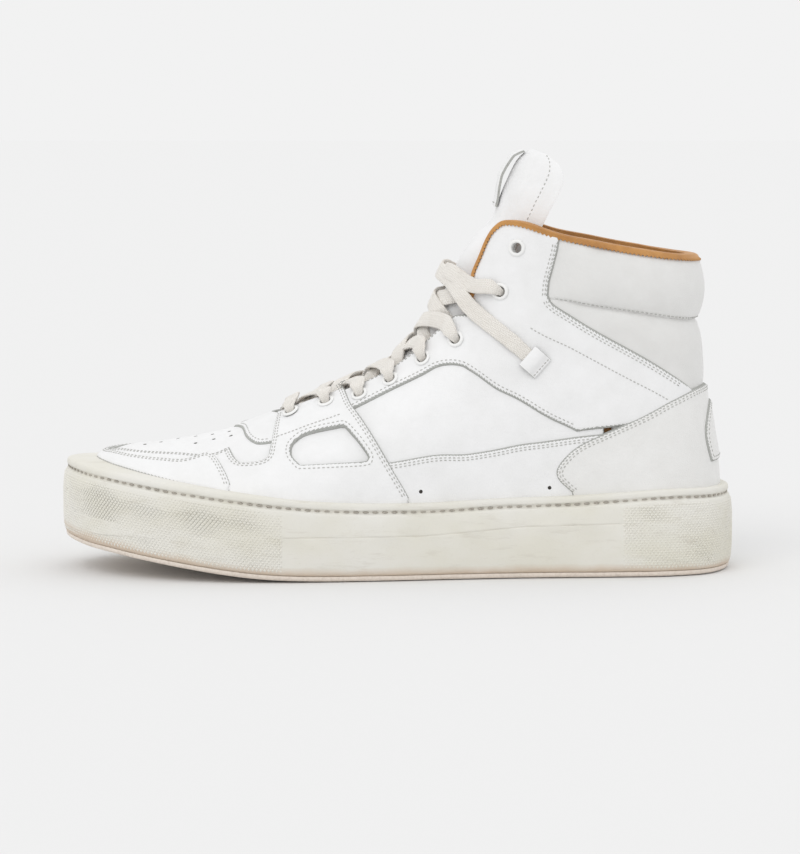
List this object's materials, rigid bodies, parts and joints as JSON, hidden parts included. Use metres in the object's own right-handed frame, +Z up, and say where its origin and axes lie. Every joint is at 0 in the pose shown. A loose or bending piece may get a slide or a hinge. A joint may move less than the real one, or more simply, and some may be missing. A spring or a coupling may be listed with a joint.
{
  "type": "basketball high top",
  "caption": "White leather basketball high top with a thick off-white cupsole, tan lining, padded collar, flat laces through metal eyelets and a tall tongue.",
  "frame": {"origin": "on the floor, at the middle of the sole's length and on its centre line; the sole's flat ground face is z = 0", "axes": "+X from toe to heel, +Y towards the inner (medial) side, +Z up"},
  "size_m": [0.3007, 0.1104, 0.1883],
  "materials": {
    "ankle_panel": "smooth white, low sheen",
    "collar_pad": "smooth white, low sheen",
    "cupsole": "matte, slightly yellowed",
    "eyelet_lateral_1": "white enamel",
    "eyelet_lateral_2": "white enamel",
    "eyelet_lateral_3": "white enamel",
    "eyelet_lateral_4": "white enamel",
    "eyelet_lateral_5": "white enamel",
    "eyelet_lateral_6": "white enamel",
    "eyelet_lateral_7": "white enamel",
    "eyelet_lateral_8": "white enamel",
    "eyelet_medial_1": "white enamel",
    "eyelet_medial_2": "white enamel",
    "eyelet_medial_3": "white enamel",
    "eyelet_medial_4": "white enamel",
    "eyelet_medial_5": "white enamel",
    "eyelet_medial_6": "white enamel",
    "eyelet_medial_7": "white enamel",
    "eyelet_medial_8": "white enamel",
    "eyestay_quarter_lateral": "smooth white, low sheen",
    "eyestay_quarter_medial": "smooth white, low sheen",
    "footbed": "soft matt tan",
    "front_quarter_lateral": "smooth white, low sheen",
    "front_quarter_medial": "smooth white, low sheen",
    "heel_counter_cover": "smooth white, low sheen",
    "heel_patch": "smooth white, low sheen",
    "heel_stiffener": "resin-stiffened felt",
    "insole_board": "pressed fibre board",
    "lace": "flat woven cotton",
    "lace_keeper_lateral": "smooth white, low sheen",
    "lace_keeper_medial": "smooth white, low sheen",
    "lining": "soft matt tan",
    "lower_side_panel_lateral": "smooth white, low sheen",
    "lower_side_panel_medial": "smooth white, low sheen",
    "midsole_filler": "foam",
    "outsole": "matte, slightly yellowed",
    "pull_loop": "smooth white, low sheen",
    "side_panel_lateral": "smooth white, low sheen",
    "side_panel_medial": "smooth white, low sheen",
    "throat_overlay": "smooth white, low sheen",
    "toe_mudguard": "smooth white, low sheen",
    "toe_puff": "resin-stiffened felt",
    "tongue": "smooth white, low sheen",
    "tongue_lining": "soft matt tan",
    "tongue_top_tab": "smooth white, low sheen",
    "vamp": "smooth white, low sheen"
  },
  "bodies": {
    "shoe": {"ankle_panel": "ankle_panel", "collar_pad": "collar_pad", "cupsole": "cupsole", "eyelet_lateral_1": "eyelet_lateral_1", "eyelet_lateral_2": "eyelet_lateral_2", "eyelet_lateral_3": "eyelet_lateral_3", "eyelet_lateral_4": "eyelet_lateral_4", "eyelet_lateral_5": "eyelet_lateral_5", "eyelet_lateral_6": "eyelet_lateral_6", "eyelet_lateral_7": "eyelet_lateral_7", "eyelet_lateral_8": "eyelet_lateral_8", "eyelet_medial_1": "eyelet_medial_1", "eyelet_medial_2": "eyelet_medial_2", "eyelet_medial_3": "eyelet_medial_3", "eyelet_medial_4": "eyelet_medial_4", "eyelet_medial_5": "eyelet_medial_5", "eyelet_medial_6": "eyelet_medial_6", "eyelet_medial_7": "eyelet_medial_7", "eyelet_medial_8": "eyelet_medial_8", "eyestay_quarter_lateral": "eyestay_quarter_lateral", "eyestay_quarter_medial": "eyestay_quarter_medial", "footbed": "footbed", "front_quarter_lateral": "front_quarter_lateral", "front_quarter_medial": "front_quarter_medial", "heel_counter_cover": "heel_counter_cover", "heel_patch": "heel_patch", "heel_stiffener": "heel_stiffener", "insole_board": "insole_board", "lace": "lace", "lining": "lining", "lower_side_panel_lateral": "lower_side_panel_lateral", "lower_side_panel_medial": "lower_side_panel_medial", "midsole_filler": "midsole_filler", "outsole": "outsole", "side_panel_lateral": "side_panel_lateral", "side_panel_medial": "side_panel_medial", "throat_overlay": "throat_overlay", "toe_mudguard": "toe_mudguard", "toe_puff": "toe_puff", "vamp": "vamp"},
    "tongue": {"tongue": "tongue", "tongue_lining": "tongue_lining"},
    "tongue_top_tab": {"tongue_top_tab": "tongue_top_tab"},
    "pull_loop": {"pull_loop": "pull_loop"},
    "lace_keeper_lateral": {"lace_keeper_lateral": "lace_keeper_lateral"},
    "lace_keeper_medial": {"lace_keeper_medial": "lace_keeper_medial"}
  },
  "joints": [
    {"name": "tongue_swing", "type": "hinge", "parent": "shoe", "child": "tongue", "pos_m": [-0.063, 0, 0.057], "axis": [0, 1, 0], "range_deg": [0, 8]},
    {"name": "tab_fold", "type": "hinge", "parent": "tongue", "child": "tongue_top_tab", "pos_m": [0.0425, 0, 0.1605], "axis": [0, 1, 0], "range_deg": [-25, 0]},
    {"name": "loop_flip", "type": "hinge", "parent": "tongue_top_tab", "child": "pull_loop", "pos_m": [0.041, 0, 0.158], "axis": [0, 1, 0], "range_deg": [-15, 0]},
    {"name": "keeper_lift_lateral", "type": "hinge", "parent": "shoe", "child": "lace_keeper_lateral", "pos_m": [0.0634, -0.03542, 0.09205], "axis": [0.6619, 0.0518, 0.7478], "range_deg": [0, 20]},
    {"name": "keeper_lift_medial", "type": "hinge", "parent": "shoe", "child": "lace_keeper_medial", "pos_m": [0.06327, 0.03434, 0.09196], "axis": [-0.661, 0.0119, -0.7503], "range_deg": [0, 20]}
  ]
}
